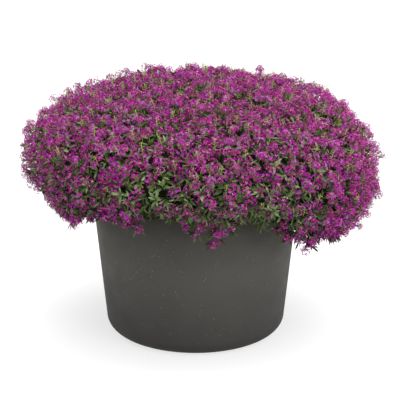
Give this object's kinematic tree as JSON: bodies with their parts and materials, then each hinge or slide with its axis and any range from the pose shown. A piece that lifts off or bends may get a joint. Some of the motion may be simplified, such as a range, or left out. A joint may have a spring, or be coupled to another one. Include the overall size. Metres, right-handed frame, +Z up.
{
  "type": "potted sweet alyssum",
  "caption": "Dark round planter filled with soil, overgrown by a broad cushion of sweet alyssum: bunches of small four-petalled purple florets over narrow green leaves. Rests on its flat base.",
  "frame": {"origin": "centre of the pot's flat base, on the surface it stands on", "axes": "+Z up, -Y to the pictured front, +X to the right of the picture"},
  "size_m": [0.6204, 0.6068, 0.4518],
  "materials": {
    "pot": "matt charcoal moulded composite, faintly mottled, with scattered fine tan specks",
    "soil": "moist dark potting mix of bark fibre and peat, with pale mineral grains",
    "foliage": "grey-green narrow leaves with a fine down, soft sheen",
    "petals": "matt magenta-purple petals, paler at the edge, with small yellow-green centres"
  },
  "bodies": {
    "root": {"pot": "pot", "potting_soil": "soil", "plant_1": "foliage", "plant_2": "foliage", "plant_3": "foliage", "plant_4": "foliage", "plant_5": "foliage", "plant_6": "foliage", "plant_7": "foliage", "flower_bunch_01": "petals", "flower_bunch_02": "petals", "flower_bunch_03": "petals", "flower_bunch_04": "petals", "flower_bunch_05": "petals", "flower_bunch_06": "petals", "flower_bunch_07": "petals", "flower_bunch_08": "petals", "flower_bunch_09": "petals", "flower_bunch_10": "petals", "flower_bunch_11": "petals", "flower_bunch_12": "petals", "flower_bunch_13": "petals", "flower_bunch_14": "petals", "flower_bunch_15": "petals", "flower_bunch_16": "petals", "flower_bunch_17": "petals", "flower_bunch_18": "petals", "flower_bunch_19": "petals", "flower_bunch_20": "petals", "flower_bunch_21": "petals", "flower_bunch_22": "petals", "flower_bunch_23": "petals", "flower_bunch_24": "petals", "flower_bunch_25": "petals", "flower_bunch_26": "petals", "flower_bunch_27": "petals", "flower_bunch_28": "petals", "flower_bunch_29": "petals", "flower_bunch_30": "petals", "flower_bunch_31": "petals", "flower_bunch_32": "petals", "flower_bunch_33": "petals", "flower_bunch_34": "petals", "flower_bunch_35": "petals", "flower_bunch_36": "petals", "flower_bunch_37": "petals", "flower_bunch_38": "petals", "flower_bunch_39": "petals", "flower_bunch_40": "petals", "flower_bunch_41": "petals", "flower_bunch_42": "petals", "flower_bunch_43": "petals", "flower_bunch_44": "petals", "flower_bunch_45": "petals", "flower_bunch_46": "petals", "flower_bunch_47": "petals", "flower_bunch_48": "petals", "flower_bunch_49": "petals", "flower_bunch_50": "petals", "flower_bunch_51": "petals"}
  },
  "joints": []
}
